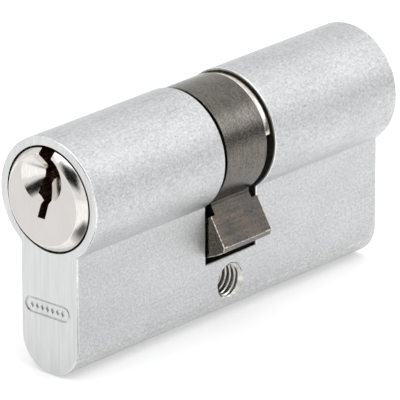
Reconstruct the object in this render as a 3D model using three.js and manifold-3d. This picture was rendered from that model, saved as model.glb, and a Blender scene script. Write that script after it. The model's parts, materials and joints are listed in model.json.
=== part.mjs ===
// Euro-profile double lock cylinder, 60 mm long, key operated from both ends.
// Millimetres. X runs along the plugs with the front end at -X, +Z is up.
// The origin is the centre of the fixing-screw hole; the plugs turn on a line AXIS_Z above it.

import * as THREE from 'three';
import { mergeVertices } from 'three/addons/utils/BufferGeometryUtils.js';
import Module from 'manifold-3d';

const wasm = await Module();
wasm.setup();

// ---- driving dimensions ----

const AXIS_Z = 19;                 // plug axis above the fixing screw
const HALF_LENGTH = 30;            // from the screw to each end face
const HEAD_R = 8.5;
const WEB_HALF = 5;
const WEB_ROUND_V = -19.5;         // centre of the round lower edge, from the plug axis
const SLOT_HALF = 5;
const SLOT_FLOOR_V = -15.25;

const SCREW_TAP_R = 2.1;           // M5 tapping hole
const SCREW_MOUTH_R = 2.7;

const PLUG_R = 6.5;
const BORE_R = 6.56;
const COLLAR_R = 7.08;
const COLLAR_BORE_R = 7.32;
const COLLAR_DEPTH = 1.4;          // collar inside the end face
const COLLAR_BORE_DEPTH = 1.7;
const FACE_R = 6.1;
const FACE_PROUD = 1.1;            // flat of the plug in front of the end face
const TAIL_X = -1.6;               // inner end of the front plug

const GROOVE_R = 5.8;
const GROOVE_X = -4.2;             // middle of the circlip groove
const GROOVE_WIDTH = 1.1;
const CLIP_BORE_R = 5.9;
const CLIP_WIDTH = 1;
const CLIP_GAP = 60;               // degrees of open ring
const CLIPS = {                    // outer radius, and middle of the opening from +Y towards +Z
  front: { r: 7.5, gapAngle: 300 },
  rear: { r: 8.05, gapAngle: -20 },
};

const ENTRY = { u: -0.15, v: 3.25, r: 3.55, depth: 3.4 };   // 90 degree key countersink
const KEYWAY = [                   // section of the keyway seen from the front, u to the right
  [-0.9, -2.3], [0.4, -2.3], [1.15, 0.1], [1.3, 0.45], [-0.25, 1.9], [-0.25, 2.35],
  [1.3, 3.65], [1.3, 8], [-0.95, 8], [-0.95, 4.2], [-1.4, 3.6], [-1.4, 0.75], [-0.1, 0.1],
];
const KEYWAY_END_X = -4.9;

const CHAMBERS = 5;
const FIRST_CHAMBER_X = -25;
const CHAMBER_PITCH = 3.8;
const CHAMBER_R = 1.5;
const CHAMBER_TOP_V = 2.4;
const PIN_R = 1.42;
const PIN_TIP_R = 0.45;
const PIN_TIP = 0.9;
const PIN_CHAMFER = 0.2;
const KEY_PIN_FOOT_V = -6.3;
const DRIVER_TOP_V = -6.6;
const KEY_PIN_LENGTHS = [5.2, 6.4, 5.8, 7.0, 5.4];
const PIN_STACK = 10.6;            // key pin and driver pin together
const CAP_TOP_V = -23;
const CAP_R = 1.44;
const CAP_ROUND_R = 4.95;
const PIN_SPRING = { r: 1.05, wire: 0.17, turns: 4, steps: 8, gap: 0.2 };

const HUB_R = 8.25;
const HUB_X = [-4.3, 3.6];
const NECK_X = [-3.9, 3.6];
const NOSE_X = [-4.7, 4.8];
const NOSE_STEP_R = { front: 10, rear: 9.6 };   // where the nose widens beyond its neck
const NOSE_R = 15.1;
const NOSE_LEAN = 18;              // degrees from straight down towards -Y
const NOSE_HALF_ANGLE = 13;
const NOSE_OFFSET = 0.6;
const NOSE_BEVEL = 0.55;
const NOSE_FILLET = 0.6;
const FILLET_STEPS = 4;
const TIP_STEPS = 10;
const CLIP_RECESS_R = 7.75;
const CLIP_RECESS_X = -3.55;
const RIB_HALF = 1.2;              // inner rib that the couplers drive
const RIB_R = 4.2;
const RIB_NOTCH_R = 6.46;

const COUPLER_R = 6.3;
const COUPLER_HALF = 1.85;         // half width of its two wings
const COUPLER_X = [-3, -1.35];
const COUPLER_HEEL = { x: -4.8, r: 3.4 };
const COUPLER_SLOT_HALF = 2;
const COUPLER_SLOT_X = -5.1;
const COUPLER_SEAT = { r: 1.3, depth: 0.9 };
const COUPLER_SPRING = { r: 0.85, wire: 0.18, turns: 3, steps: 8, half: 1.95 };

const ROUND = 64;                  // segments of the large turned faces
const SMALL = 12;                  // segments of pins and chambers
const BEYOND = 1;                  // how far a cutter runs past the face it cuts

const rad = THREE.MathUtils.degToRad;

// ---- solids: three.js geometry in, manifold booleans, three.js geometry out ----

const ALONG_X = new THREE.Matrix4().makeBasis(
  new THREE.Vector3(0, 1, 0), new THREE.Vector3(0, 0, 1), new THREE.Vector3(1, 0, 0));
const TURNED_X = new THREE.Matrix4().makeBasis(
  new THREE.Vector3(0, 0, 1), new THREE.Vector3(1, 0, 0), new THREE.Vector3(0, 1, 0));
const AS_DRAWN = new THREE.Matrix4();
const TURNED_Z = new THREE.Matrix4().makeRotationX(Math.PI / 2);

// A closed geometry as a solid; triangles that collapse on a turning axis are left out.
function solid(geometry, matrix = AS_DRAWN) {
  const bare = geometry.clone().applyMatrix4(matrix);
  bare.deleteAttribute('normal');
  bare.deleteAttribute('uv');
  const merged = mergeVertices(bare, 1e-4);
  const index = merged.index.array;
  const kept = [];
  for (let i = 0; i < index.length; i += 3) {
    const [a, b, c] = [index[i], index[i + 1], index[i + 2]];
    if (a !== b && b !== c && c !== a) kept.push(a, b, c);
  }
  return new wasm.Manifold(new wasm.Mesh({
    numProp: 3,
    vertProperties: new Float32Array(merged.attributes.position.array),
    triVerts: new Uint32Array(kept),
  }));
}

function geometryOf(manifold) {
  const mesh = manifold.getMesh();
  const geometry = new THREE.BufferGeometry();
  geometry.setAttribute('position', new THREE.BufferAttribute(mesh.vertProperties, 3));
  geometry.setIndex(new THREE.BufferAttribute(mesh.triVerts, 1));
  geometry.computeVertexNormals();
  return geometry;
}

// A prism along X of an outline drawn in the YZ plane.
function prism(outline, [from, to], segments = SMALL) {
  const geometry = new THREE.ExtrudeGeometry(outline, {
    depth: to - from, bevelEnabled: false, curveSegments: segments,
  });
  return solid(geometry, new THREE.Matrix4().makeTranslation(from, 0, 0).multiply(ALONG_X));
}

// A turned solid about X, from [radius, x] pairs that start and end on the axis.
function turned(profile, segments = ROUND) {
  const points = profile.map(([r, x]) => new THREE.Vector2(r, x));
  return solid(new THREE.LatheGeometry(points, segments), TURNED_X);
}

function disc(r, [from, to], segments = ROUND) {
  return turned([[0, from], [r, from], [r, to], [0, to]], segments);
}

// A turned solid about a vertical line at x, from [radius, height] pairs.
function turnedUp(x, profile, segments = SMALL) {
  const points = profile.map(([r, v]) => new THREE.Vector2(r, v));
  return solid(new THREE.LatheGeometry(points, segments),
    new THREE.Matrix4().makeTranslation(x, 0, 0).multiply(TURNED_Z));
}

function post(x, r, [from, to], segments = SMALL) {
  return turnedUp(x, [[0, from], [r, from], [r, to], [0, to]], segments);
}

function box([x0, x1], [y0, y1], [z0, z1]) {
  return solid(new THREE.BoxGeometry(x1 - x0, y1 - y0, z1 - z0),
    new THREE.Matrix4().makeTranslation((x0 + x1) / 2, (y0 + y1) / 2, (z0 + z1) / 2));
}

function outlineOf(points) {
  return new THREE.Shape(points.map(([y, z]) => new THREE.Vector2(y, z)));
}

const chamberXs = Array.from({ length: CHAMBERS }, (_, i) => FIRST_CHAMBER_X + i * CHAMBER_PITCH);

// ---- housing ----

// Round head over a web with a round lower edge.
function profileOutline() {
  const shoulder = Math.asin(WEB_HALF / HEAD_R);
  const shape = new THREE.Shape();
  shape.absarc(0, 0, HEAD_R, shoulder - Math.PI / 2, 3 * Math.PI / 2 - shoulder, false);
  shape.absarc(0, WEB_ROUND_V, WEB_HALF, Math.PI, 2 * Math.PI, false);
  return shape;
}

// Tapping hole through the web with a chamfer at both mouths.
function screwHole() {
  const mouth = WEB_HALF - (SCREW_MOUTH_R - SCREW_TAP_R);
  const wide = SCREW_MOUTH_R + BEYOND;
  const end = WEB_HALF + BEYOND;
  const profile = [[0, -end], [wide, -end], [SCREW_TAP_R, -mouth], [SCREW_TAP_R, mouth], [wide, end], [0, end]];
  const points = profile.map(([r, y]) => new THREE.Vector2(r, y));
  return solid(new THREE.LatheGeometry(points, 2 * SMALL),
    new THREE.Matrix4().makeTranslation(0, 0, -AXIS_Z));
}

function housing() {
  const ends = HALF_LENGTH + BEYOND;
  const collarX = HALF_LENGTH - COLLAR_BORE_DEPTH;
  let body = prism(profileOutline(), [-HALF_LENGTH, HALF_LENGTH], ROUND / 2)
    .subtract(disc(BORE_R, [-ends, ends]))
    .subtract(box([-SLOT_HALF, SLOT_HALF], [-2 * HEAD_R, 2 * HEAD_R], [SLOT_FLOOR_V, 2 * HEAD_R]))
    .subtract(screwHole());
  for (const side of [-1, 1]) {
    const span = [side * collarX, side * ends].sort((a, b) => a - b);
    body = body.subtract(disc(COLLAR_BORE_R, span));
    for (const x of chamberXs) {
      body = body.subtract(post(side * x, CHAMBER_R, [WEB_ROUND_V - WEB_HALF - BEYOND, 0]));
    }
  }
  return body;
}

// ---- plug, drawn as the front one ----

function keyway() {
  const outline = outlineOf(KEYWAY.map(([u, v]) => [-u, v]).reverse());
  return prism(outline, [-HALF_LENGTH - FACE_PROUD - BEYOND, KEYWAY_END_X]);
}

function keyEntry() {
  const face = -HALF_LENGTH - FACE_PROUD;
  const mouth = ENTRY.r * (1 + BEYOND / ENTRY.depth);
  return turned([[0, face - BEYOND], [mouth, face - BEYOND], [0, face + ENTRY.depth]], ROUND / 2)
    .translate([0, -ENTRY.u, ENTRY.v]);
}

function couplerOutline(r, half) {
  const corner = Math.asin(half / r);
  const shape = new THREE.Shape();
  shape.absarc(0, 0, r, -corner, corner, false);
  shape.absarc(0, 0, r, Math.PI - corner, Math.PI + corner, false);
  return shape;
}

function plug() {
  const face = -HALF_LENGTH - FACE_PROUD;
  const shoulder = -HALF_LENGTH + COLLAR_DEPTH;
  const [g0, g1] = [GROOVE_X - GROOVE_WIDTH / 2, GROOVE_X + GROOVE_WIDTH / 2];
  let body = turned([
    [0, face], [FACE_R, face], [COLLAR_R, -HALF_LENGTH], [COLLAR_R, shoulder], [PLUG_R, shoulder],
    [PLUG_R, g0], [GROOVE_R, g0], [GROOVE_R, g1], [PLUG_R, g1], [PLUG_R, TAIL_X], [0, TAIL_X],
  ]);
  body = body.subtract(keyway()).subtract(keyEntry());
  body = body.subtract(box([COUPLER_SLOT_X, TAIL_X + BEYOND], [-HEAD_R, HEAD_R],
    [-COUPLER_SLOT_HALF, COUPLER_SLOT_HALF]));
  for (const x of chamberXs) {
    body = body.subtract(post(x, CHAMBER_R, [-HEAD_R, CHAMBER_TOP_V]));
  }
  return body;
}

// Open ring that snaps into the plug's groove.
function circlip({ r, gapAngle }) {
  const [from, to] = [rad(gapAngle + CLIP_GAP / 2), rad(gapAngle + 360 - CLIP_GAP / 2)];
  const shape = new THREE.Shape();
  shape.absarc(0, 0, r, from, to, false);
  shape.absarc(0, 0, CLIP_BORE_R, to, from, true);
  return prism(shape, [GROOVE_X - CLIP_WIDTH / 2, GROOVE_X + CLIP_WIDTH / 2], 2 * SMALL);
}

// ---- pins, springs and caps of one chamber ----

function keyPin(x, length) {
  const tip = KEY_PIN_FOOT_V + length;
  return turnedUp(x, [
    [0, KEY_PIN_FOOT_V], [PIN_R - PIN_CHAMFER, KEY_PIN_FOOT_V], [PIN_R, KEY_PIN_FOOT_V + PIN_CHAMFER],
    [PIN_R, tip - PIN_TIP], [PIN_TIP_R, tip], [0, tip],
  ]);
}

function driverPin(x, length) {
  const foot = DRIVER_TOP_V - length;
  return turnedUp(x, [
    [0, foot], [PIN_R - PIN_CHAMFER, foot], [PIN_R, foot + PIN_CHAMFER],
    [PIN_R, DRIVER_TOP_V - PIN_CHAMFER], [PIN_R - PIN_CHAMFER, DRIVER_TOP_V], [0, DRIVER_TOP_V],
  ]);
}

function chamberCap(x) {
  const round = new THREE.Shape();
  round.absarc(0, WEB_ROUND_V, CAP_ROUND_R, 0, 2 * Math.PI, false);
  return post(x, CAP_R, [WEB_ROUND_V - HEAD_R, CAP_TOP_V])
    .intersect(prism(round, [x - CHAMBER_PITCH, x + CHAMBER_PITCH], ROUND));
}

// A square-section wire wound about a line from start to end.
function coil(start, end, { r, wire, turns, steps }) {
  const along = new THREE.Vector3().subVectors(end, start);
  const side = new THREE.Vector3(along.z, along.x, along.y).normalize();
  const other = new THREE.Vector3().crossVectors(along, side).normalize();
  side.crossVectors(other, along).normalize();
  const points = [];
  for (let i = 0; i <= turns * steps; i++) {
    const turn = 2 * Math.PI * i / steps;
    points.push(start.clone().addScaledVector(along, i / (turns * steps))
      .addScaledVector(side, r * Math.cos(turn)).addScaledVector(other, r * Math.sin(turn)));
  }
  const section = outlineOf([[wire, 0], [0, wire], [-wire, 0], [0, -wire]]);
  return solid(new THREE.ExtrudeGeometry(section, {
    steps: turns * steps, bevelEnabled: false, extrudePath: new THREE.CatmullRomCurve3(points),
  }));
}

function pinSpring(x, driverLength) {
  const from = CAP_TOP_V + PIN_SPRING.gap + PIN_SPRING.wire;
  const to = DRIVER_TOP_V - driverLength - PIN_SPRING.gap - PIN_SPRING.wire;
  return coil(new THREE.Vector3(x, 0, from), new THREE.Vector3(x, 0, to), PIN_SPRING);
}

// ---- cam and the couplers inside it ----

// Nose of the cam from radius 0 out to its tip, with fillets into the hub; drawn straight down.
function noseOutline() {
  const half = rad(NOSE_HALF_ANGLE);
  const centreR = HUB_R + NOSE_FILLET;
  const along = Math.sqrt(centreR ** 2 - (NOSE_OFFSET + NOSE_FILLET) ** 2);
  const at = (s, n) => [s * Math.sin(half) + n * Math.cos(half), -s * Math.cos(half) + n * Math.sin(half)];
  const centre = at(along, NOSE_OFFSET + NOSE_FILLET);
  const onHub = Math.atan2(-centre[1], -centre[0]);
  const onSide = Math.PI + half;
  const right = [];
  for (let i = 0; i <= FILLET_STEPS; i++) {
    const a = onHub + (onSide - onHub) * i / FILLET_STEPS;
    right.push([centre[0] + NOSE_FILLET * Math.cos(a), centre[1] + NOSE_FILLET * Math.sin(a)]);
  }
  const tipAngle = half + Math.asin(NOSE_OFFSET / NOSE_R);
  const arc = [];
  for (let i = 0; i <= TIP_STEPS; i++) {
    const a = tipAngle * (1 - 2 * i / TIP_STEPS);
    arc.push([NOSE_R * Math.sin(a), -NOSE_R * Math.cos(a)]);
  }
  const left = right.map(([y, z]) => [-y, z]).reverse();
  return outlineOf([[0, 0], ...right, ...arc, ...left].reverse());
}

// Bevel along the tip's edge on the side that leads towards -Y.
function tipBevel(spanX) {
  const tipAngle = rad(NOSE_HALF_ANGLE) + Math.asin(NOSE_OFFSET / NOSE_R);
  const corner = [-NOSE_R * Math.sin(tipAngle), -NOSE_R * Math.cos(tipAngle)];
  const cut = NOSE_BEVEL / Math.SQRT2;
  return solid(new THREE.BoxGeometry(spanX, 2 * cut, 2 * cut),
    new THREE.Matrix4().makeTranslation(0, ...corner)
      .multiply(new THREE.Matrix4().makeRotationX(Math.PI / 4 - tipAngle)));
}

function cam() {
  const nose = noseOutline();
  const outside = prism(nose, NOSE_X)
    .subtract(disc(NOSE_STEP_R.front, [-HUB_R, 0]))
    .subtract(disc(NOSE_STEP_R.rear, [0, HUB_R]));
  const wide = 2 * (NOSE_X[1] - NOSE_X[0]);
  const notch = prism(couplerOutline(RIB_NOTCH_R, COUPLER_SLOT_HALF), [-RIB_HALF - BEYOND, RIB_HALF + BEYOND]);
  return prism(nose, NECK_X).add(outside).subtract(tipBevel(wide))
    .rotate([-NOSE_LEAN, 0, 0])
    .add(disc(HUB_R, HUB_X))
    .subtract(disc(BORE_R, [-2 * HUB_R, -RIB_HALF]))
    .subtract(disc(BORE_R, [RIB_HALF, 2 * HUB_R]))
    .subtract(disc(RIB_R, [-HUB_R, HUB_R]))
    .subtract(disc(CLIP_RECESS_R, [-2 * HUB_R, CLIP_RECESS_X]))
    .subtract(notch);
}

function coupler() {
  const heel = couplerOutline(COUPLER_HEEL.r, COUPLER_HALF);
  return prism(couplerOutline(COUPLER_R, COUPLER_HALF), COUPLER_X, SMALL / 2)
    .add(prism(heel, [COUPLER_HEEL.x, COUPLER_X[0]], SMALL / 2))
    .subtract(disc(COUPLER_SEAT.r, [COUPLER_X[1] - COUPLER_SEAT.depth, COUPLER_X[1] + BEYOND], SMALL));
}

function couplerSpring() {
  const { half } = COUPLER_SPRING;
  return coil(new THREE.Vector3(-half, 0, 0), new THREE.Vector3(half, 0, 0), COUPLER_SPRING);
}

// ---- assembly ----

const FINISHES = {
  nickel: { color: 0xd2d3d4, roughness: 0.38, metalness: 1 },
  plugNickel: { color: 0xd6d0c8, roughness: 0.22, metalness: 1 },
  sinteredSteel: { color: 0x6c665f, roughness: 0.45, metalness: 1 },
  springSteel: { color: 0xb9bbbd, roughness: 0.25, metalness: 1 },
  brass: { color: 0xc9a45c, roughness: 0.3, metalness: 1 },
};

const lock = new THREE.Group();
const onAxis = new THREE.Group();
onAxis.position.set(0, 0, AXIS_Z);
lock.add(onAxis);

function place(group, name, manifold, finish) {
  const mesh = new THREE.Mesh(geometryOf(manifold), new THREE.MeshStandardMaterial(FINISHES[finish]));
  mesh.name = name;
  group.add(mesh);
}

place(onAxis, 'housing', housing(), 'nickel');
place(onAxis, 'cam', cam(), 'sinteredSteel');
place(onAxis, 'coupler_spring', couplerSpring(), 'springSteel');

// Both ends hold the same pieces, but for the ring; the rear end is the front one turned half round.
for (const [end, turn] of [['front', 0], ['rear', Math.PI]]) {
  const side = new THREE.Group();
  side.rotation.z = turn;
  onAxis.add(side);
  place(side, `${end}_plug`, plug(), 'plugNickel');
  place(side, `${end}_circlip`, circlip(CLIPS[end]), 'springSteel');
  place(side, `${end}_coupler`, coupler(), 'springSteel');
  chamberXs.forEach((x, i) => {
    const driverLength = PIN_STACK - KEY_PIN_LENGTHS[i];
    place(side, `${end}_key_pin_${i + 1}`, keyPin(x, KEY_PIN_LENGTHS[i]), 'brass');
    place(side, `${end}_driver_pin_${i + 1}`, driverPin(x, driverLength), 'springSteel');
    place(side, `${end}_pin_spring_${i + 1}`, pinSpring(x, driverLength), 'springSteel');
    place(side, `${end}_chamber_cap_${i + 1}`, chamberCap(x), 'brass');
  });
}

export default lock;
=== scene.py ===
"""Looks of a euro-profile double lock cylinder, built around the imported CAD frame.

Shapes are drawn in millimetres about the plug axis: x along the plugs, y across, v up from the axis.
"""

import json
import math

import bmesh
import bpy
from mathutils import Matrix, Vector


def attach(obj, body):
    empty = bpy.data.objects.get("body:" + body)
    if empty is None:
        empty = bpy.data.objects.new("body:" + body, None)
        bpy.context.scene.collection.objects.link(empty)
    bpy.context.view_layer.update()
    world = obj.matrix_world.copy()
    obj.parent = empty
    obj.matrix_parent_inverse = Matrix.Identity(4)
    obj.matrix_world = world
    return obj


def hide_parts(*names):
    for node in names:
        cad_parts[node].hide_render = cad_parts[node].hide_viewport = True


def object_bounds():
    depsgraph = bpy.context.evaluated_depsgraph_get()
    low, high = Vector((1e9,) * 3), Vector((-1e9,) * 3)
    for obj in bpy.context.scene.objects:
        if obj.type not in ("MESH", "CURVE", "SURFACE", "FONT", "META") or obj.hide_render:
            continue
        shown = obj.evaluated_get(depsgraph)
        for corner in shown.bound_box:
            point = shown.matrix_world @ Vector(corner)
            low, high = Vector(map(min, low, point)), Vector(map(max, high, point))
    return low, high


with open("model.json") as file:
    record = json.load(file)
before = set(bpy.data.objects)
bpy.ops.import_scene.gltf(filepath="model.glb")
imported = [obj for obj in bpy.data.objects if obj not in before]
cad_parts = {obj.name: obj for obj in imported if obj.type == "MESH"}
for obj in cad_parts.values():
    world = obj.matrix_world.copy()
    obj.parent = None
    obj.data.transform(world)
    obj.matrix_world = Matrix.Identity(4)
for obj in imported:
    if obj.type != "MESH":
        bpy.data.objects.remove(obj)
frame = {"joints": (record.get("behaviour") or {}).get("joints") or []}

cad_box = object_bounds()

# ---- sizes, in millimetres ----

MM = 0.001
JOINTS = {j["name"]: j for j in frame["joints"]}
AXIS_Z = JOINTS["cam_turn"]["pos_m"][2] / MM      # plug axis above the fixing screw
LENGTH = 30.0                                     # from the screw to each end face
HEAD_R = 8.5
WEB = 5.0
WEB_ROUND_V = -19.5
SLOT = 5.0
SLOT_FLOOR = -15.25
SLOT_ROUND = 0.2
SLOT_BRIGHT_EDGE_FROM = 0.08                                # the rounded slot edge is painted bright past this: partly rubbed wear, partly a painted highlight
JUNCTION_R = 0.35                                 # fillet between head and web
END_ROUND = 0.2
END_STEPS = 4

SCREW = {"minor": 2.08, "major": 2.5, "pitch": 0.8, "mouth": 2.7, "turns": 15, "rows": 12, "around": 64}
THREAD_REACH = 2.75                               # faces nearer the screw's axis than this are thread
FLANK = (0.125, 0.75)                             # half pitches from the groove's middle: deepest, none
PILL = {"y": 0.4, "v": -15.35, "half": 4.0, "r": 1.15, "depth": 0.25, "rim": 0.32, "field": 0.06,
        "edge": 0.06, "margin": 0.1}
DIAMOND = {"each_side": 3, "pitch": 0.9, "half_width": 0.34, "half_height": 0.52}

BORE_R = 6.56
BARREL_R = 6.5
COLLAR = {"r": 7.08, "bore": 7.32, "lip": 0.05, "x": -28.6, "bore_x": -28.3}
FACE = {"r": 6.04, "x": -31.1, "soft": 0.05, "skin": 0.002}
TAIL_X = -1.6
GROOVE = {"r": 5.8, "x": (-4.75, -3.65)}
ENTRY = {"u": -0.15, "v": 3.25, "r": 3.55, "depth": 3.4}
KEYWAY = [(-0.9, -2.3), (0.4, -2.3), (1.15, 0.1), (1.3, 0.45), (-0.25, 1.9), (-0.25, 2.35),
          (1.3, 3.65), (1.3, 8.0), (-0.95, 8.0), (-0.95, 4.2), (-1.4, 3.6), (-1.4, 0.75), (-0.1, 0.1)]
KEYWAY_WALLS = {"half": 1.5, "v": (-6.5, 5.85), "past_end": 0.1}    # walls within this are brass
KEYWAY_END = -4.9
RIM_NOTCH = {"u": (-2.2, -0.8), "v": (6.1, 8.0), "x": -30.65}

CHAMBER_XS = [-25.0 + 3.8 * i for i in range(5)]
CHAMBER_R = 1.5
CHAMBER_IN_HOUSING = (-27.5, -3.0)                # from below the web up into the plug's bore
CHAMBER_IN_PLUG = (-8.0, 2.4)                     # from below the barrel up to the blind end
PIN_R = 1.42
PIN_END = ((1.15, 0.0), (1.3, 0.04), (PIN_R, 0.2))        # (radius, distance from the end)
KEY_PIN_POINT = ((PIN_R, 0.9), (0.6, 0.12), (0.42, 0.0))
KEY_PIN_FOOT = -6.3
DRIVER_TOP = -6.6
KEY_PIN_LENGTHS = [5.2, 6.4, 5.8, 7.0, 5.4]
PIN_STACK = 10.6
CAP = {"r": 1.44, "top": -23.0, "round": 4.95, "radii": (0.02, 0.7), "edge": 0.06, "lift": 0.05}
PIN_SPRING = {"r": 1.05, "wire": 0.17, "turns": 7, "gap": 0.2}

HUB = {"r": 8.25, "x": (-4.3, 3.6), "soft": 0.12, "skin": 0.2}
NECK_X = (-3.9, 3.6)
NOSE = {"x": (-4.7, 4.8), "steps": (10.0, 9.6), "r": 15.1, "lean": 18.0, "half": 13.0, "offset": 0.6,
        "bevel": 0.55, "fillet": 0.6, "edge": 0.1, "round_past": 0.5,
        "narrow": 0.13, "clear": 0.3}
RECESS = {"r": 7.75, "x": -3.55}
RIB = {"half": 1.2, "r": 4.2, "notch_gap": 0.1, "notch_over": 0.5}
CLIP = {"bore": 5.9, "x": (-4.7, -3.7), "gap": 60.0, "edge": 0.1}
CLIPS = {"front": {"r": 7.5, "middle": 300.0}, "rear": {"r": 8.05, "middle": -20.0}}
COUPLER = {"r": 6.3, "half": 1.85, "x": (-3.0, -1.35), "heel": 3.4, "heel_half": 1.84,
           "heel_x": (-4.8, -2.8), "seat": 1.3, "deep": 0.9, "edge": 0.12}
COUPLER_SLOT = {"half": 2.0, "x": -5.1}
COUPLER_SPRING = {"r": 0.85, "wire": 0.18, "turns": 4, "half": 1.95}

FINE = 144                                        # segments of the large round faces
MIDDLE = 48
SMALL = 24
BEYOND = 1.0                                      # how far a cutting tool reaches past the surface
TOUCH = 0.01                                      # how near a place counts as on a surface
TIP_R = 0.02                                      # a cone's point

SOFT_STEP = 0.3                                   # middle of a rounded rim, as a share of its size
FLAT = 0.98                                       # least x of the normal of a face square to x
CAM_SIDE = 0.9                                    # the same for the cam, whose rims are softer
LEVEL = 0.1                                       # most x of the normal of a face along x
SMALLEST = 0.001 * MM                             # in metres; a face of no size doesn't divide by zero

TURN_ABOUT_Z = Matrix.Rotation(math.pi, 4, "Z")


# ---- mesh building ----

def new_object(name, points, faces):
    """An object from points about the plug axis, in millimetres, with its faces turned outwards."""
    mesh = bpy.data.meshes.new(name)
    mesh.from_pydata([(x * MM, y * MM, (v + AXIS_Z) * MM) for x, y, v in points], [], faces)
    work = bmesh.new()
    work.from_mesh(mesh)
    bmesh.ops.recalc_face_normals(work, faces=work.faces)
    work.to_mesh(mesh)
    work.free()
    obj = bpy.data.objects.new(name, mesh)
    bpy.context.scene.collection.objects.link(obj)
    return obj


def loft(name, rings):
    """A closed skin over rings of equal length, with a flat cap at each end."""
    n = len(rings[0])
    faces = []
    for k in range(len(rings) - 1):
        for i in range(n):
            j = (i + 1) % n
            faces.append((k * n + i, k * n + j, (k + 1) * n + j, (k + 1) * n + i))
    faces.append(tuple(range(n)))
    last = (len(rings) - 1) * n
    faces.append(tuple(last + i for i in range(n)))
    return new_object(name, [p for ring in rings for p in ring], faces)


def triangulated(obj):
    """Drops points that no face uses and splits the faces into triangles."""
    work = bmesh.new()
    work.from_mesh(obj.data)
    unused = [v for v in work.verts if not v.link_faces]
    bmesh.ops.delete(work, geom=unused, context="VERTS")
    bmesh.ops.triangulate(work, faces=work.faces)
    work.to_mesh(obj.data)
    work.free()
    return obj


def turned(name, profile, segments=FINE, centre=(0.0, 0.0)):
    """A solid turned about a line along x, from (radius, x) pairs; centre is the line's (y, v)."""
    angles = [2 * math.pi * i / segments for i in range(segments)]
    return loft(name, [[(x, centre[0] + r * math.cos(a), centre[1] + r * math.sin(a)) for a in angles]
                       for r, x in profile])


def post(name, profile, x, segments=MIDDLE):
    """A solid turned about a vertical line at x, from (radius, v) pairs."""
    angles = [2 * math.pi * i / segments for i in range(segments)]
    return loft(name, [[(x + r * math.cos(a), r * math.sin(a), v) for a in angles] for r, v in profile])


def prism(name, outline, span):
    """A prism along x of an outline of (y, v) points."""
    return loft(name, [[(x, y, v) for y, v in outline] for x in span])


def drum(name, r, span, soft):
    """A drum along x with both rims rounded."""
    near, far = span
    step = SOFT_STEP * soft
    return turned(name, [(r - soft, near), (r - step, near + step), (r, near + soft),
                         (r, far - soft), (r - step, far - step), (r - soft, far)])


def block(name, xs, ys, vs):
    """A box between two values of each of x, y and v."""
    return prism(name, [(ys[0], vs[0]), (ys[1], vs[0]), (ys[1], vs[1]), (ys[0], vs[1])], xs)


def arc(centre, r, start, end, steps):
    """Points on an arc in the y, v plane, angles in degrees from +y towards +v."""
    out = []
    for i in range(steps + 1):
        a = math.radians(start + (end - start) * i / steps)
        out.append((centre[0] + r * math.cos(a), centre[1] + r * math.sin(a)))
    return out


def coil(name, start, end, r, wire, turns, steps=20, sides=8):
    """A round wire wound about the line from start to end."""
    start, end = Vector(start), Vector(end)
    along = (end - start).normalized()
    side = along.orthogonal().normalized()
    other = along.cross(side)
    rings = []
    count = turns * steps
    rise = (end - start).length / count
    for i in range(count + 1):
        a = 2 * math.pi * i / steps
        out = math.cos(a) * side + math.sin(a) * other
        heading = 2 * math.pi * r / steps * (math.cos(a) * other - math.sin(a) * side) + rise * along
        across = heading.normalized().cross(out)
        centre = start + along * (rise * i) + out * r
        rings.append([tuple(centre + wire * (math.cos(b) * out + math.sin(b) * across))
                      for b in (2 * math.pi * k / sides for k in range(sides))])
    return loft(name, rings)


def bake(obj):
    """Applies the object's modifiers to its mesh."""
    graph = bpy.context.evaluated_depsgraph_get()
    mesh = bpy.data.meshes.new_from_object(obj.evaluated_get(graph))
    obj.modifiers.clear()
    obj.data = mesh
    return obj


def combine(target, tools, operation="DIFFERENCE"):
    """Cuts or joins the tools, which may not overlap each other, with the target."""
    tool = tools[0]
    for other in tools[1:]:
        work = bmesh.new()
        work.from_mesh(tool.data)
        work.from_mesh(other.data)
        work.to_mesh(tool.data)
        work.free()
        bpy.data.objects.remove(other)
    modifier = target.modifiers.new("combine", "BOOLEAN")
    modifier.object = tool
    modifier.operation = operation
    modifier.solver = "EXACT"
    bake(target)
    bpy.data.objects.remove(tool)
    return target


def local(point):
    """A mesh point as (x, y, v) in millimetres about the plug axis."""
    return point.x / MM, point.y / MM, point.z / MM - AXIS_Z


def round_edges(obj, width, chosen=None, segments=2, angle=30.0):
    """Rounds the outer edges sharper than angle whose middle passes the chosen test."""
    work = bmesh.new()
    work.from_mesh(obj.data)
    bmesh.ops.remove_doubles(work, verts=work.verts, dist=1e-7)
    bmesh.ops.dissolve_degenerate(work, edges=work.edges, dist=1e-7)
    layer = work.edges.layers.float.new("bevel_weight_edge")
    for edge in work.edges:
        if len(edge.link_faces) != 2 or not edge.is_convex:
            continue
        if edge.calc_face_angle(0.0) < math.radians(angle):
            continue
        middle = local((edge.verts[0].co + edge.verts[1].co) / 2)
        if chosen is None or chosen(*middle):
            edge[layer] = 1.0
    work.to_mesh(obj.data)
    work.free()
    modifier = obj.modifiers.new("round", "BEVEL")
    modifier.limit_method = "WEIGHT"
    modifier.width = width * MM
    modifier.segments = segments
    modifier.use_clamp_overlap = True
    return bake(obj)


def finish_surface(obj, angle=35.0):
    """Smooth shading that keeps the flats flat."""
    obj.data.shade_smooth()
    obj.data.set_sharp_from_angle(angle=math.radians(angle))
    modifier = obj.modifiers.new("flats", "WEIGHTED_NORMAL")
    modifier.keep_sharp = True
    return bake(obj)


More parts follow.
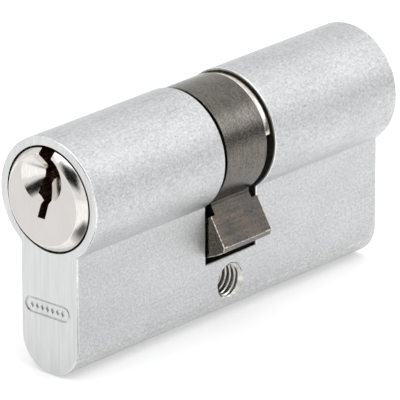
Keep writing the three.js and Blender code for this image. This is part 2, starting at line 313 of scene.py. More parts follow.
def paint(obj, materials, choose):
    """Gives each face the material named by choose(normal, x, y, v, width).

    x, y and v are the face's middle and width is its breadth, all in millimetres.
    """
    names = list(materials)
    obj.data.materials.clear()
    for name in names:
        obj.data.materials.append(materials[name])
    for face in obj.data.polygons:
        corners = [obj.data.vertices[i].co for i in face.vertices]
        around = sum((b - a).length for a, b in zip(corners, corners[1:] + corners[:1]))
        width = 2 * face.area / max(around, SMALLEST) / MM
        face.material_index = names.index(choose(face.normal, *local(face.center), width))


def show(obj, body, slot, *nodes):
    """Puts a finished piece on its body in place of its CAD nodes."""
    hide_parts(*nodes)
    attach(obj, body)


def turned_about(obj, name):
    """A copy of a front piece turned half round to the rear end."""
    copy = obj.copy()
    copy.data = obj.data.copy()
    copy.name = name
    copy.data.name = name
    copy.data.transform(TURN_ABOUT_Z)
    bpy.context.scene.collection.objects.link(copy)
    return copy


# ---- materials ----

class Finish:
    """A Principled metal with procedural colour, roughness and relief."""

    def __init__(self, name, colour, roughness, metallic=1.0):
        self.material = bpy.data.materials.new(name)
        self.material.use_nodes = True
        self.nodes = self.material.node_tree.nodes
        self.links = self.material.node_tree.links
        self.shader = self.nodes["Principled BSDF"]
        self.shader.inputs["Base Color"].default_value = (*colour, 1.0)
        self.shader.inputs["Metallic"].default_value = metallic
        self.shader.inputs["Roughness"].default_value = roughness
        self.place = self.nodes.new("ShaderNodeTexCoord").outputs["Object"]

    def noise(self, per_mm, detail=3.0, rough=0.55):
        """Noise with a feature size of 1 / per_mm millimetres along each axis."""
        scale = self.nodes.new("ShaderNodeMapping")
        scale.inputs["Scale"].default_value = [s / MM for s in per_mm]
        self.links.new(self.place, scale.inputs["Vector"])
        node = self.nodes.new("ShaderNodeTexNoise")
        node.inputs["Scale"].default_value = 1.0
        node.inputs["Detail"].default_value = detail
        node.inputs["Roughness"].default_value = rough
        self.links.new(scale.outputs["Vector"], node.inputs["Vector"])
        return node.outputs["Fac"]

    def ramp(self, value, low, high, at=(0.3, 0.7)):
        """Maps a value between two greys or two colours."""
        node = self.nodes.new("ShaderNodeValToRGB")
        ends = [(c, c, c) if isinstance(c, (int, float)) else c for c in (low, high)]
        for element, place, colour in zip(node.color_ramp.elements, at, ends):
            element.position = place
            element.color = (*colour, 1.0)
        self.links.new(value, node.inputs["Fac"])
        return node.outputs["Color"]

    def math(self, operation, *values):
        """One step of arithmetic on numbers or outputs of other nodes."""
        node = self.nodes.new("ShaderNodeMath")
        node.operation = operation
        for value, socket in zip(values, node.inputs):
            if isinstance(value, (int, float)):
                socket.default_value = value
            else:
                self.links.new(value, socket)
        return node.outputs["Value"]

    def times(self, first, second):
        """The product of two colours."""
        node = self.nodes.new("ShaderNodeMix")
        node.data_type = "RGBA"
        node.blend_type = "MULTIPLY"
        node.inputs["Factor"].default_value = 1.0
        self.links.new(first, node.inputs["A"])
        self.links.new(second, node.inputs["B"])
        return node.outputs["Result"]

    def colour(self, *layers):
        """Base colour as the product of its layers."""
        result = layers[0]
        for layer in layers[1:]:
            result = self.times(result, layer)
        self.links.new(result, self.shader.inputs["Base Color"])

    def roughness(self, value):
        """Roughness from a grey output."""
        self.links.new(value, self.shader.inputs["Roughness"])

    def relief(self, *layers):
        """Bumps of (height value, depth in millimetres), one over the other."""
        normal = None
        for height, depth in layers:
            node = self.nodes.new("ShaderNodeBump")
            node.inputs["Strength"].default_value = 1.0
            node.inputs["Distance"].default_value = depth * MM
            self.links.new(height, node.inputs["Height"])
            if normal:
                self.links.new(normal, node.inputs["Normal"])
            normal = node.outputs["Normal"]
        self.links.new(normal, self.shader.inputs["Normal"])


def satin_nickel():
    """Plated body: coarse tumbled grain, faint drawn lines along the profile, small dark specks."""
    f = Finish("satin_nickel", (0.62, 0.62, 0.63), 0.42)
    cloud = f.ramp(f.noise((0.12, 0.3, 0.3), detail=4.0), (0.6, 0.605, 0.612), (0.67, 0.675, 0.682))
    grain = f.noise((2.4, 3.0, 3.0), detail=6.0, rough=0.75)
    specks = f.ramp(f.noise((2.2, 2.8, 2.8), detail=2.0, rough=0.7), 0.7, 1.0, at=(0.30, 0.36))
    drawn = f.noise((0.12, 7.0, 7.0), detail=3.0, rough=0.6)
    scratches = f.ramp(f.noise((0.16, 2.6, 2.6), detail=3.0, rough=0.6), 0.8, 1.0, at=(0.28, 0.34))
    f.colour(cloud, f.ramp(grain, 0.74, 1.14, at=(0.36, 0.64)), specks, scratches, f.ramp(drawn, 0.96, 1.02))
    f.roughness(f.ramp(grain, 0.31, 0.45))
    f.relief((drawn, 0.004), (grain, 0.1))
    return f.material


def brushed_end():
    """End faces: ground with fine upright lines."""
    f = Finish("brushed_end", (0.74, 0.74, 0.73), 0.36)
    lines = f.noise((1.0, 11.0, 0.22), detail=4.0, rough=0.7)
    broad = f.noise((0.2, 2.2, 0.10), detail=2.0)
    f.colour(f.ramp(broad, (0.6, 0.605, 0.605), (0.68, 0.685, 0.685)), f.ramp(lines, 0.86, 1.06))
    f.roughness(f.ramp(lines, 0.30, 0.44))
    f.relief((lines, 0.005), (f.noise((7.0, 7.0, 7.0), detail=3.0), 0.0025))
    return f.material


def worn_and_highlit_edge(name, dark, light, roughness):
    """Rounded edges painted bright: rubbed wear in spots, and a painted highlight along the rim."""
    f = Finish(name, light, roughness)
    f.colour(f.ramp(f.noise((2.5, 2.5, 2.5), detail=4.0, rough=0.7), dark, light, at=(0.38, 0.6)))
    f.relief((f.noise((6.0, 6.0, 6.0), detail=3.0), 0.004))
    return f.material


def milled_slot(name, dark, light):
    """Faces of the central slot: dull, with milling marks. It is made twice, as a dark copy that paints
    shade and a lighter copy that paints light.
    """
    f = Finish(name, light, 0.45)
    marks = f.noise((9.0, 9.0, 0.5), detail=3.0, rough=0.6)
    f.colour(f.ramp(f.noise((0.9, 0.9, 0.9), detail=4.0), dark, light), f.ramp(marks, 0.7, 1.1))
    f.roughness(f.ramp(marks, 0.42, 0.58))
    f.relief((marks, 0.008), (f.noise((6.0, 6.0, 6.0), detail=3.0), 0.006))
    return f.material


def bright_thread():
    """Cut thread: bright, with a faint unevenness."""
    f = Finish("bright_thread", (0.6, 0.59, 0.57), 0.2)
    f.colour(f.ramp(f.noise((1.5, 1.5, 1.5), detail=3.0), (0.45, 0.44, 0.42), (0.7, 0.69, 0.66)))
    f.relief((f.noise((4.0, 4.0, 4.0), detail=3.0), 0.003))
    return f.material


def plug_face():
    """Flat of the plug: warm satin nickel, nearly even."""
    f = Finish("plug_face", (0.72, 0.69, 0.66), 0.3)
    fine = f.noise((8.0, 8.0, 8.0), detail=3.0)
    f.colour(f.ramp(f.noise((0.25, 0.25, 0.25), detail=3.0), (0.56, 0.54, 0.522), (0.595, 0.575, 0.555)))
    f.roughness(f.ramp(fine, 0.26, 0.34))
    f.relief((fine, 0.0015))
    return f.material


def plug_polish():
    """Turned nickel of the chamfer, countersink and collar: bright, with fine turning scratches."""
    f = Finish("plug_polish", (0.8, 0.77, 0.73), 0.13)
    turning = f.noise((16.0, 1.1, 1.1), detail=4.0, rough=0.7)
    f.colour(f.ramp(f.noise((0.4, 0.4, 0.4), detail=3.0), (0.76, 0.735, 0.7), (0.84, 0.815, 0.78)),
             f.ramp(turning, 0.82, 1.05))
    f.roughness(f.ramp(f.noise((2.0, 2.0, 2.0), detail=3.0), 0.1, 0.2))
    f.relief((turning, 0.004))
    return f.material


def keyway_brass():
    """Broached walls of the keyway, thinly plated brass."""
    f = Finish("keyway_brass", (0.55, 0.42, 0.3), 0.3)
    drag = f.noise((0.3, 9.0, 9.0), detail=3.0)
    f.colour(f.ramp(f.noise((0.6, 0.6, 0.6), detail=3.0), (0.58, 0.4, 0.28), (0.85, 0.64, 0.48)),
             f.ramp(drag, 0.8, 1.05))
    f.roughness(f.ramp(drag, 0.15, 0.3))
    f.relief((drag, 0.004))
    return f.material


def sintered_steel(name, shades, marks_per_mm, marks_deep, rough):
    """Dark oiled steel of the cam: pitted grain, tool marks along one direction, brown bloom."""
    f = Finish(name, shades[1], rough[0])
    marks = f.noise(marks_per_mm, detail=4.0, rough=0.65)
    grain = f.noise((4.0, 4.0, 4.0), detail=5.0, rough=0.7)
    bloom = f.ramp(f.noise((0.35, 0.35, 0.35), detail=4.0), *shades)
    f.colour(bloom, f.ramp(marks, 0.7, 1.15), f.ramp(grain, 0.6, 1.2, at=(0.35, 0.65)))
    f.roughness(f.ramp(grain, *rough))
    f.relief((marks, marks_deep), (grain, 0.04))
    return f.material


def spring_steel():
    """Bright wire and strip: slightly straw-coloured in places."""
    f = Finish("spring_steel", (0.72, 0.72, 0.71), 0.2)
    f.colour(f.ramp(f.noise((1.0, 1.0, 1.0), detail=3.0), (0.64, 0.6, 0.55), (0.8, 0.76, 0.7)))
    f.roughness(f.ramp(f.noise((4.0, 4.0, 4.0), detail=3.0), 0.15, 0.3))
    f.relief((f.noise((8.0, 8.0, 8.0), detail=3.0), 0.003))
    return f.material


def turned_metal(name, dark, light, roughness):
    """Small turned pieces with fine lathe lines up their length."""
    f = Finish(name, light, roughness[0])
    lines = f.noise((0.8, 0.8, 12.0), detail=2.0)
    f.colour(f.ramp(f.noise((0.8, 0.8, 0.8), detail=3.0), dark, light))
    f.roughness(f.ramp(lines, *roughness))
    f.relief((lines, 0.003))
    return f.material


# ---- housing ----

def profile(inset=0.0):
    """Section of the housing: round head, web and round lower edge, moved inwards by inset."""
    head, foot = HEAD_R - inset, WEB - inset
    fillet = JUNCTION_R + inset
    cy = WEB + JUNCTION_R
    cv = -math.sqrt((HEAD_R + JUNCTION_R) ** 2 - cy ** 2)
    lean = math.degrees(math.atan2(cv, cy))
    points = arc((cy, cv), fillet, 180, 180 + lean, 5)
    points += arc((0, 0), head, lean, 180 - lean, 120)[1:-1]
    points += arc((-cy, cv), fillet, -lean, 0, 5)
    points += arc((0, WEB_ROUND_V), foot, 180, 360, 60)
    return points


def thread_radius(row, y):
    """Radius of the tap's skin: one groove in each turn of rows, widening to both mouths."""
    deep, shallow = FLANK
    from_root = abs(2 * (row % SCREW["rows"]) / SCREW["rows"] - 1)
    tooth = min(max((shallow - from_root) / (shallow - deep), 0.0), 1.0)
    return max(SCREW["minor"] + (SCREW["major"] - SCREW["minor"]) * tooth, SCREW["mouth"] + abs(y) - WEB)


def screw_thread():
    """A tap for the fixing screw, whose skin follows the thread's helix."""
    around, rows, turns = SCREW["around"], SCREW["rows"], SCREW["turns"]
    start = -turns * SCREW["pitch"] / 2
    points, faces = [], []
    for row in range(turns * rows + 1):
        for i in range(around):
            a = 2 * math.pi * i / around
            y = start + SCREW["pitch"] * (row / rows + i / around)
            r = thread_radius(row, y)
            points.append((r * math.cos(a), y, -AXIS_Z + r * math.sin(a)))

    def index(row, i):
        return row * around + i if i < around else (row + rows) * around

    last = (turns - 1) * rows
    for row in range(last):
        for i in range(around):
            faces.append((index(row, i), index(row, i + 1), index(row + 1, i + 1), index(row + 1, i)))
    for row in (0, last):
        edge = [index(row, i) for i in range(around + 1)]
        edge += [(row + k) * around for k in range(rows - 1, 0, -1)]
        middle = len(points)
        points.append((0.0, points[index(row, around // 2)][1], -AXIS_Z))
        faces += [(middle, a, b) for a, b in zip(edge, edge[1:] + edge[:1])]
    return triangulated(new_object("tap", points, faces))


def pill(inset, span):
    """A blank rounded bar, the shape of the shallow panel in the front end face."""
    r = PILL["r"] - inset
    left, right = PILL["y"] - PILL["half"] + PILL["r"], PILL["y"] + PILL["half"] - PILL["r"]
    outline = arc((right, PILL["v"]), r, -90, 90, 16) + arc((left, PILL["v"]), r, 90, 270, 16)
    return prism("pill", outline, span)


def panel():
    """Tool for the panel: a groove inside its rim, and a slightly sunk field in the middle."""
    groove = pill(0.0, (-LENGTH - BEYOND, -LENGTH + PILL["depth"]))
    return combine(groove, [pill(PILL["rim"], (-LENGTH + PILL["field"], 0))])


def diamond(k):
    """Tool for one small diamond of the plain row sunk in the panel."""
    y, v = PILL["y"] + DIAMOND["pitch"] * k, PILL["v"]
    wide, high = DIAMOND["half_width"], DIAMOND["half_height"]
    outline = [(y + wide, v), (y, v + high), (y - wide, v), (y, v - high)]
    return prism("diamond", outline, (-LENGTH - BEYOND, -LENGTH + PILL["depth"]))


def housing_shell():
    """The profile drawn out to both end faces and rounded into them."""
    rings = []
    for side in (-1, 1):
        corner = []
        for k in range(END_STEPS + 1):
            t = math.pi / 2 * k / END_STEPS
            x = side * (LENGTH - END_ROUND * (1 - math.cos(t)))
            corner.append([(x, y, v) for y, v in profile(END_ROUND * (1 - math.sin(t)))])
        rings += corner if side < 0 else corner[::-1]
    return loft("housing_shell", rings)


def plug_bores():
    """Tool for both plugs' bores, wider at each end for the collar and widest at the lip."""
    bore, lip = COLLAR["bore"], COLLAR["lip"]
    half = [(bore + lip + BEYOND, -LENGTH - BEYOND), (bore, -LENGTH + lip),
            (bore, COLLAR["bore_x"]), (BORE_R, COLLAR["bore_x"])]
    return turned("bore", half + [(r, -x) for r, x in reversed(half)])


def on_slot_edge(x, y, v):
    """Whether a place lies on an edge of the central slot."""
    on_side = abs(abs(x) - SLOT) < TOUCH
    on_floor = abs(v - SLOT_FLOOR) < TOUCH and abs(abs(y) - WEB) < TOUCH
    return on_side or on_floor


def on_panel_edge(x, y, v):
    """Whether a place lies on an edge of the end panel above its floor."""
    margin = PILL["margin"]
    beside = abs(y - PILL["y"]) < PILL["half"] + margin and abs(v - PILL["v"]) < PILL["r"] + margin
    return beside and x < -LENGTH + PILL["depth"] - TOUCH


def housing_region(normal, x, y, v, width):
    """The material of one face of the housing."""
    if math.hypot(x, v + AXIS_Z) < THREAD_REACH and abs(y) < WEB - 0.1 * TOUCH:
        return "thread"
    square = abs(normal.x) > FLAT
    on_round = SLOT < abs(x) < SLOT + SLOT_ROUND + TOUCH and v > SLOT_FLOOR - SLOT_ROUND
    # the rounded slot edge takes the lit wall copy near the slot face, then the bright edge finish: partly
    # rubbed wear, partly a painted highlight
    if on_round and not square:
        return "lit_slot_wall" if abs(x) < SLOT + SLOT_BRIGHT_EDGE_FROM else "edge"
    # painted highlight, partly rubbed wear: the rounded rims of the end faces and the panel take the bright
    # edge finish
    if abs(x) > LENGTH - PILL["depth"] and not square:
        return "edge"
    if abs(x) > LENGTH - 2 * PILL["depth"] and square:
        return "end"
    out = math.hypot(y, v)
    # painted light: the rear slot wall in the head, where light reaches, takes the lighter copy of the
    # milled finish
    if abs(x - SLOT) < TOUCH and square and v > -HEAD_R and out > BORE_R:
        return "lit_slot_wall"
    # painted shade: the rest of the slot and the bores take the very dark copy of the milled finish
    in_slot = abs(x) < SLOT + TOUCH and v > SLOT_FLOOR - TOUCH
    return "slot" if in_slot or out < COLLAR["bore"] + TOUCH else "body"


def housing(materials):
    """Machined body with its slot, pin chambers, threaded hole, end panel and bores."""
    body = housing_shell()
    slot = block("slot", (-SLOT, SLOT), (-2 * HEAD_R, 2 * HEAD_R), (SLOT_FLOOR, 2 * HEAD_R))
    chambers = [post("chamber", [(CHAMBER_R, v) for v in CHAMBER_IN_HOUSING], side * x, SMALL)
                for side in (-1, 1) for x in CHAMBER_XS]
    combine(body, [slot, screw_thread(), *chambers])
    combine(body, [panel()])
    combine(body, [diamond(k) for k in range(-DIAMOND["each_side"], DIAMOND["each_side"] + 1)])
    combine(body, [plug_bores()])
    round_edges(body, SLOT_ROUND, on_slot_edge)
    round_edges(body, PILL["edge"], on_panel_edge)
    paint(body, materials, housing_region)
    finish_surface(body)
    show(body, "housing", "housing_nickel", "housing")


def chamber_cap(x):
    """Press-in cap ground to the round lower edge."""
    angles = [2 * math.pi * i / MIDDLE for i in range(MIDDLE)]

    def ground(r, lift=0.0):
        return [(x + r * math.cos(a), r * math.sin(a),
                 WEB_ROUND_V + lift - math.sqrt(CAP["round"] ** 2 - (r * math.sin(a)) ** 2)) for a in angles]

    rings = [ground(r) for r in CAP["radii"]]
    rings += [ground(CAP["r"] - CAP["edge"]), ground(CAP["r"], CAP["lift"])]
    rings.append([(x + CAP["r"] * math.cos(a), CAP["r"] * math.sin(a), CAP["top"]) for a in angles])
    return loft("cap", rings)


# ---- plugs ----

def plug_body():
    """Barrel and collar turned from one bar, with a chamfered flat face and a groove for the circlip."""
    face, soft = FACE["x"], FACE["soft"]
    step = 2 * SOFT_STEP * soft
    r = COLLAR["r"]
    near, far = GROOVE["x"]
    return turned("front_plug_fine", [
        (FACE["r"] - soft, face), (FACE["r"] + step, face + step),
        (r - soft, -LENGTH - soft), (r, -LENGTH + soft), (r, COLLAR["x"]),
        (BARREL_R, COLLAR["x"]), (BARREL_R, near), (GROOVE["r"], near),
        (GROOVE["r"], far), (BARREL_R, far), (BARREL_R, TAIL_X)])


def countersink():
    """Tool for the cone that guides the key in."""
    out = FACE["x"] - BEYOND
    widest = ENTRY["r"] * (1 + BEYOND / ENTRY["depth"])
    tip = FACE["x"] + ENTRY["depth"]
    return turned("entry", [(widest, out), (TIP_R, tip)], centre=(-ENTRY["u"], ENTRY["v"]))


def plug_region(normal, x, y, v, width):
    """Polished all over, but for the flat face and the walls of the keyway."""
    if x < FACE["x"] + FACE["skin"] and abs(normal.x) > FLAT:
        return "face"
    low, high = KEYWAY_WALLS["v"]
    inside = abs(y) < KEYWAY_WALLS["half"] and low < v < high
    along = abs(normal.x) < LEVEL and x < KEYWAY_END + KEYWAY_WALLS["past_end"]
    return "keyway" if inside and along else "polish"


def plug(materials):
    """The front plug, and its copy for the rear end."""
    face = FACE["x"]
    body = plug_body()
    combine(body, [countersink()])
    combine(body, [prism("keyway", [(-u, v) for u, v in KEYWAY], (face - BEYOND, KEYWAY_END))])
    notch_ys = [-u for u in RIM_NOTCH["u"]]
    combine(body, [block("notch", (face - BEYOND, RIM_NOTCH["x"]), notch_ys, RIM_NOTCH["v"])])
    combine(body, [post("chamber", [(CHAMBER_R, v) for v in CHAMBER_IN_PLUG], x, SMALL) for x in CHAMBER_XS])
    half, wide = COUPLER_SLOT["half"], BARREL_R + BEYOND
    combine(body, [block("tail_slot", (COUPLER_SLOT["x"], TAIL_X + BEYOND), (-wide, wide), (-half, half))])
    round_edges(body, FACE["soft"], lambda x, y, v: abs(x - face) < TOUCH / 2, angle=40.0)
    paint(body, materials, plug_region)
    finish_surface(body, angle=28.0)
    show(turned_about(body, "rear_plug_fine"), "rear_plug", "plug_nickel", "rear_plug")
    show(body, "front_plug", "plug_nickel", "front_plug")


def circlip(end):
    """Open snap ring that holds the plug in, its gap turned to the angle named middle."""
    r, middle = CLIPS[end]["r"], CLIPS[end]["middle"]
    start, stop = middle + CLIP["gap"] / 2, middle + 360 - CLIP["gap"] / 2
    outline = arc((0, 0), r, start, stop, 90) + arc((0, 0), CLIP["bore"], stop, start, 90)
    return round_edges(prism(f"{end}_circlip_fine", outline, CLIP["x"]), CLIP["edge"])


# ---- cam and couplers ----

def leaned(points):
    """The points turned about the plug axis, so that the nose leans towards -y."""
    a = -math.radians(NOSE["lean"])
    return [(y * math.cos(a) - v * math.sin(a), y * math.sin(a) + v * math.cos(a)) for y, v in points]


def by_flank(r, out):
    """The point at radius r and out to the right of the nose's half angle, before it leans."""
    half = math.radians(NOSE["half"])
    along = math.sqrt(r ** 2 - out ** 2)
    return along * math.sin(half) + out * math.cos(half), -along * math.cos(half) + out * math.sin(half)


def flank_angle(r):
    """Degrees between the middle of the nose and its flank at radius r."""
    return math.degrees(math.radians(NOSE["half"]) + math.asin(NOSE["offset"] / r))


def nose_tip():
    """Outline of the nose's outer end, from its sharp right corner to the bevel at its left."""
    r, back = NOSE["r"], NOSE["bevel"]
    tip = flank_angle(r)
    low = by_flank(r - back, NOSE["offset"])
    end = arc((0, 0), r, tip - 90, -90 - tip + math.degrees(back / r), 24)
    return [by_flank(r, NOSE["offset"])] + end[1:] + [(-low[0], low[1])]


def nose_beyond(r):
    """Outline of the nose from radius r outwards."""
    foot = flank_angle(r)
    return leaned(arc((0, 0), r, -90 - foot, foot - 90, 24) + nose_tip())


def nose_on_hub():
    """Outline of the nose from the plug axis outwards, with a fillet where each flank meets the hub."""
    fillet = NOSE["fillet"]
    centre = by_flank(HUB["r"] + fillet, NOSE["offset"] + fillet)
    on_hub = math.degrees(math.atan2(-centre[1], -centre[0]))
    right = arc(centre, fillet, on_hub, 180 + NOSE["half"], 12)
    return leaned([(0.0, 0.0)] + right + nose_tip() + [(-y, v) for y, v in reversed(right)])


def cam_nose():
    """The full width nose with soft edges, cut back at the front to leave a step round the hub."""
    front, rear = NOSE["steps"]
    nose = prism("nose", nose_beyond(rear), NOSE["x"])
    round_edges(nose, NOSE["edge"], lambda x, y, v: math.hypot(y, v) > front + NOSE["round_past"])
    return combine(nose, [turned("step", [(front, NOSE["x"][0] - BEYOND), (front, NECK_X[0])])])


def cam_bore():
    """Tool for the bore, which leaves a rib in the middle and a recess at the front."""
    far = 2 * HUB["r"]
    half = RIB["half"]
    return turned("cam_bore", [
        (RECESS["r"], -far), (RECESS["r"], RECESS["x"]), (BORE_R, RECESS["x"]), (BORE_R, -half),
        (RIB["r"], -half), (RIB["r"], half), (BORE_R, half), (BORE_R, far)])


def cam_region(normal, x, y, v, width):
    """The material of one face of the cam; narrow faces are its rounded edges."""
    out = math.hypot(y, v)
    across = abs(normal.x)
    if out < HUB["r"] - HUB["skin"] or (out < HUB["r"] + TOUCH and across < CAM_SIDE):
        return "hub"
    # painted highlight, partly rubbed burrs: the narrow rounded edges of the nose take a near white finish
    if width < NOSE["narrow"] and out > NOSE["steps"][0] + NOSE["clear"] and across < FLAT:
        return "edge"
    if across > CAM_SIDE:
        return "side"
    # painted light: the tip bevel takes a lighter copy of the steel, as it shows lit
    return "tip" if out > NOSE["r"] - NOSE["bevel"] else "nose"


def cam(materials):
    """Hub and nose in one, bored for both plugs, its rib notched for the couplers."""
    body = drum("cam_fine", HUB["r"], HUB["x"], HUB["soft"])
    combine(body, [prism("neck", nose_on_hub(), NECK_X)], "UNION")
    combine(body, [cam_nose()], "UNION")
    combine(body, [cam_bore()])
    notch = wings(BORE_R - RIB["notch_gap"], COUPLER_SLOT["half"])
    reach = RIB["half"] + RIB["notch_over"]
    combine(body, [prism("rib_notch", notch, (-reach, reach))])
    paint(body, materials, cam_region)
    finish_surface(body)
    show(body, "cam", "cam_steel", "cam")


def wings(r, half):
    """Two opposite wings of a coupler, or the notch that they slide in."""
    corner = math.degrees(math.asin(half / r))
    return arc((0, 0), r, -corner, corner, 8) + arc((0, 0), r, 180 - corner, 180 + corner, 8)


def coupler():
    """Sliding coupler: two wings that enter the cam, a heel behind them, and a seat for the spring."""
    body = prism("front_coupler_fine", wings(COUPLER["r"], COUPLER["half"]), COUPLER["x"])
    combine(body, [prism("heel", wings(COUPLER["heel"], COUPLER["heel_half"]), COUPLER["heel_x"])], "UNION")
    end = COUPLER["x"][1]
    seat = [(COUPLER["seat"], end - COUPLER["deep"]), (COUPLER["seat"], end + BEYOND)]
    combine(body, [turned("seat", seat, MIDDLE)])
    return round_edges(body, COUPLER["edge"])


# ---- pins, springs and small pieces ----

def key_pin(x, length):
    """Pin with a point that rests on the key; its flat foot meets the driver pin."""
    tip = KEY_PIN_FOOT + length
    foot = [(r, KEY_PIN_FOOT + back) for r, back in PIN_END]
    return post("key_pin", foot + [(r, tip - back) for r, back in KEY_PIN_POINT], x)


def driver_pin(x, length):
    """Plain pin with both ends softened."""
    foot = DRIVER_TOP - length
    low = [(r, foot + back) for r, back in PIN_END]
    return post("driver_pin", low + [(r, DRIVER_TOP - back) for r, back in reversed(PIN_END)], x)


def pin_spring(x, driver_length):
    """Spring between a chamber's cap and its driver pin."""
    low = CAP["top"] + PIN_SPRING["gap"] + PIN_SPRING["wire"]
    high = DRIVER_TOP - driver_length - PIN_SPRING["gap"] - PIN_SPRING["wire"]
    return coil("pin_spring", (x, 0, low), (x, 0, high), PIN_SPRING["r"], PIN_SPRING["wire"],
                PIN_SPRING["turns"])


def coupler_spring():
    """Spring between the two couplers, inside the cam's rib."""
    reach = COUPLER_SPRING["half"]
    return coil("coil", (-reach, 0, 0), (reach, 0, 0), COUPLER_SPRING["r"], COUPLER_SPRING["wire"],
                COUPLER_SPRING["turns"])


def small_piece(obj, name, end, body, slot, material):
    """Names, paints and places one small piece; the rear end's is turned half round."""
    if end == "rear":
        obj.data.transform(TURN_ABOUT_Z)
    obj.name = name + "_fine"
    obj.data.materials.clear()
    obj.data.materials.append(material)
    finish_surface(obj)
    show(obj, body, slot, name)


# ---- stage, in metres ----

ROOM = 0.95                                       # brightness of the plain surroundings
AIM = (0.0, 0.0, 0.01)                            # what the lights and cards face
FLOOR = {"half": 8.0, "gap": 0.00002, "white": 0.72, "glow": 0.31}
CAMERA = {"azimuth": -48.14, "elevation": 21.0, "roll": -0.16, "distance": 0.7595,
          "aim": (-0.42, 0.14, 10.43), "lens": 512.1}


def direction(azimuth, elevation):
    """Unit vector from the object towards a place seen at that azimuth and elevation."""
    a, e = math.radians(azimuth), math.radians(elevation)
    return Vector((math.sin(a) * math.cos(e), -math.cos(a) * math.cos(e), math.sin(e)))


def aimed(obj, place, target=AIM):
    """Stands obj at place and turns its front to target."""
    obj.location = place
    obj.rotation_euler = (Vector(target) - Vector(place)).to_track_quat("-Z", "Y").to_euler()


def camera():
    """The camera; its aim is in millimetres above the fixing screw."""
    data = bpy.data.cameras.new("camera")
    data.lens = CAMERA["lens"]
    data.sensor_width = 36.0
    obj = bpy.data.objects.new("camera", data)
    bpy.context.scene.collection.objects.link(obj)
    aim = Vector(CAMERA["aim"]) * MM
    aimed(obj, aim + CAMERA["distance"] * direction(CAMERA["azimuth"], CAMERA["elevation"]), aim)
    turn = Matrix.Rotation(math.radians(CAMERA["roll"]), 3, "Z")
    obj.rotation_euler = (obj.rotation_euler.to_matrix() @ turn).to_euler()
    bpy.context.scene.camera = obj


def softbox(name, azimuth, elevation, size, power, distance=0.9):
    """A soft rectangular light."""
    data = bpy.data.lights.new(name, "AREA")
    data.shape = "RECTANGLE"
    data.size, data.size_y = size
    data.energy = power
    obj = bpy.data.objects.new(name, data)
    bpy.context.scene.collection.objects.link(obj)
    aimed(obj, distance * direction(azimuth, elevation))


def sheet(material, xs, ys, height=0.0):
    """A flat rectangle that belongs to the stage."""
    mesh = bpy.data.meshes.new(material.name)
    mesh.from_pydata([(xs[0], ys[0], height), (xs[1], ys[0], height), (xs[1], ys[1], height),
                      (xs[0], ys[1], height)], [], [(0, 1, 2, 3)])
    mesh.materials.append(material)
    obj = bpy.data.objects.new(material.name, mesh)
    bpy.context.scene.collection.objects.link(obj)
    return obj


def floor(height):
    """A pale light table: part matt white, part its own glow, so that shadows stay faint."""
    f = Finish("floor", [FLOOR["white"]] * 3, 0.9, metallic=0.0)
    f.shader.inputs["Specular IOR Level"].default_value = 0.1
    f.shader.inputs["Emission Color"].default_value = (1, 1, 1, 1)
    f.shader.inputs["Emission Strength"].default_value = FLOOR["glow"]
    half = FLOOR["half"]
    sheet(f.material, (-half, half), (-half, half), height)


def grey_card(name, shade, half, feather):
    """A card that shows shade in its middle and fades to the brightness of the room at its edges."""
    f = Finish(name, (0, 0, 0), 1.0, metallic=0.0)
    f.shader.inputs["Specular IOR Level"].default_value = 0.0
    f.shader.inputs["Emission Strength"].default_value = 1.0
    split = f.nodes.new("ShaderNodeSeparateXYZ")
    f.links.new(f.place, split.inputs["Vector"])
    reach = [f.math("DIVIDE", f.math("ABSOLUTE", split.outputs[axis]), size)
             for axis, size in zip("XY", half)]
    outwards = f.math("MAXIMUM", *reach)
    f.links.new(f.ramp(outwards, shade, ROOM, (1 - feather, 1.0)), f.shader.inputs["Emission Color"])
    obj = sheet(f.material, (-half[0], half[0]), (-half[1], half[1]))
    only_reflected(obj)
    return obj


def floor_shadow_card(name, lowest, middle, half, shade):
    """A dark card lying on the floor in front of the plug, seen only in reflections: a painted shadow where
    the floor in front lies in shade; middle and half are in millimetres.
    """
    obj = grey_card(name, shade, [h * MM for h in half], feather=0.6)
    obj.location = (middle[0] * MM, middle[1] * MM, lowest)


def card(name, azimuth, elevation, size, shade, feather, distance=0.7):
    """A card standing round the object."""
    obj = grey_card(name, shade, (size[0] / 2, size[1] / 2), feather)
    aimed(obj, distance * direction(azimuth, elevation))


def only_reflected(obj):
    """Hides obj from everything but reflections."""
    obj.visible_camera = False
    obj.visible_diffuse = False
    obj.visible_shadow = False


def studio(lowest):
    """A bright plain room with two soft lights, dark cards for the polished metal to reflect, and a dark
    card on the floor in front that paints its shadow.
    """
    scene = bpy.context.scene
    scene.view_settings.view_transform = "Standard"
    world = bpy.data.worlds.new("studio")
    world.use_nodes = True
    world.node_tree.nodes["Background"].inputs["Color"].default_value = (1.0, 1.0, 1.0, 1)
    world.node_tree.nodes["Background"].inputs["Strength"].default_value = ROOM
    scene.world = world
    softbox("overhead", azimuth=-20, elevation=80, size=(0.9, 0.9), power=3.4)
    softbox("right_front", azimuth=50, elevation=30, size=(0.5, 0.36), power=0.95)
    card("horizon_gap", azimuth=45, elevation=6, size=(0.9, 0.18), shade=0.01, feather=0.3)
    card("behind_camera", azimuth=-66, elevation=37, size=(0.66, 0.62), shade=0.005, feather=0.45)
    # painted shadow: a dark card on the floor in front of the plug, seen only in reflections
    floor_shadow_card("painted_floor_shadow", lowest, middle=(-40, -20), half=(13, 15), shade=0.12)


# ---- the object ----

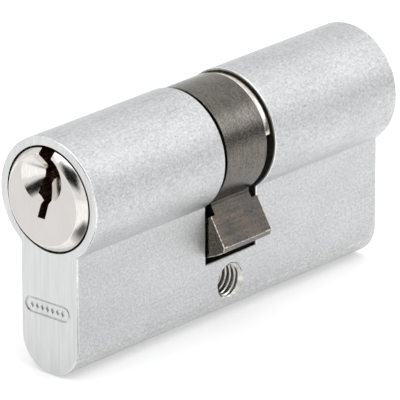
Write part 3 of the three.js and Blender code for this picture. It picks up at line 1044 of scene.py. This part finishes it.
def cam_finishes():
    """Materials of the cam: marks run round the hub and along x on the nose."""
    return {
        "hub": sintered_steel("cam_hub", ((0.15, 0.143, 0.135), (0.2, 0.18, 0.158)),
                              marks_per_mm=(3.0, 0.6, 0.6), marks_deep=0.002, rough=(0.15, 0.25)),
        "nose": sintered_steel("cam_nose", ((0.085, 0.083, 0.085), (0.15, 0.127, 0.1)),
                               marks_per_mm=(0.2, 3.0, 3.0), marks_deep=0.012, rough=(0.24, 0.38)),
        "side": sintered_steel("cam_side", ((0.13, 0.12, 0.1), (0.2, 0.18, 0.14)),
                               marks_per_mm=(2.0, 2.0, 2.0), marks_deep=0.004, rough=(0.22, 0.34)),
        # painted light: a lighter copy of the steel for the lit tip bevel
        "tip": sintered_steel("cam_tip_lit_copy", ((0.2, 0.2, 0.2), (0.28, 0.27, 0.25)),
                              marks_per_mm=(0.25, 4.0, 4.0), marks_deep=0.004, rough=(0.25, 0.4)),
        # painted highlight, partly rubbed burrs: near white edges on the dark steel
        "edge": worn_and_highlit_edge("cam_worn_highlit_edge", (0.16, 0.14, 0.11), (0.9, 0.84, 0.72), 0.45),
    }


def housing_finishes():
    """Materials of the housing."""
    return {
        # painted shade and light: a very dark copy of the milled finish for the slot and bores, a lighter
        # copy for the lit rear wall
        "slot": milled_slot("milled_slot", (0.06, 0.06, 0.055), (0.16, 0.16, 0.15)),
        "lit_slot_wall": milled_slot("milled_slot_lit_copy", (0.3, 0.29, 0.26), (0.6, 0.58, 0.52)),
        "body": satin_nickel(),
        "end": brushed_end(),
        # painted highlight, partly rubbed wear: rims lighter than the body
        "edge": worn_and_highlit_edge("worn_and_highlit_edge", (0.7, 0.7, 0.71), (0.9, 0.9, 0.9), 0.26),
        "thread": bright_thread(),
    }


def chamber(end, i, metals):
    """Key pin, driver pin, spring and cap of one chamber."""
    x, length = CHAMBER_XS[i], KEY_PIN_LENGTHS[i]
    pin, driver = f"{end}_key_pin_{i + 1}", f"{end}_driver_pin_{i + 1}"
    spring, cap = f"{end}_pin_spring_{i + 1}", f"{end}_chamber_cap_{i + 1}"
    small_piece(key_pin(x, length), pin, end, pin, "pin_brass", metals["pin"])
    small_piece(driver_pin(x, PIN_STACK - length), driver, end, driver, "driver_steel", metals["driver"])
    small_piece(pin_spring(x, PIN_STACK - length), spring, end, "housing", "spring_steel", metals["spring"])
    small_piece(chamber_cap(x), cap, end, "housing", "cap_brass", metals["cap"])


camera()
lowest = cad_box[0][2]
studio(lowest)
floor(lowest - FLOOR["gap"])

metals = {
    "spring": spring_steel(),
    "pin": turned_metal("pin_brass", (0.6, 0.42, 0.16), (0.78, 0.6, 0.28), (0.18, 0.34)),
    "cap": turned_metal("cap_brass", (0.62, 0.52, 0.3), (0.78, 0.68, 0.45), (0.3, 0.45)),
    "driver": turned_metal("driver_steel", (0.5, 0.51, 0.53), (0.66, 0.67, 0.69), (0.16, 0.3)),
}
housing(housing_finishes())
plug({"face": plug_face(), "polish": plug_polish(), "keyway": keyway_brass()})
cam(cam_finishes())
for end in ("front", "rear"):
    small_piece(circlip(end), f"{end}_circlip", end, f"{end}_plug", "spring_steel", metals["spring"])
    small_piece(coupler(), f"{end}_coupler", end, f"{end}_coupler", "spring_steel", metals["spring"])
    for i in range(len(CHAMBER_XS)):
        chamber(end, i, metals)
small_piece(coupler_spring(), "coupler_spring", "front", "cam", "spring_steel", metals["spring"])
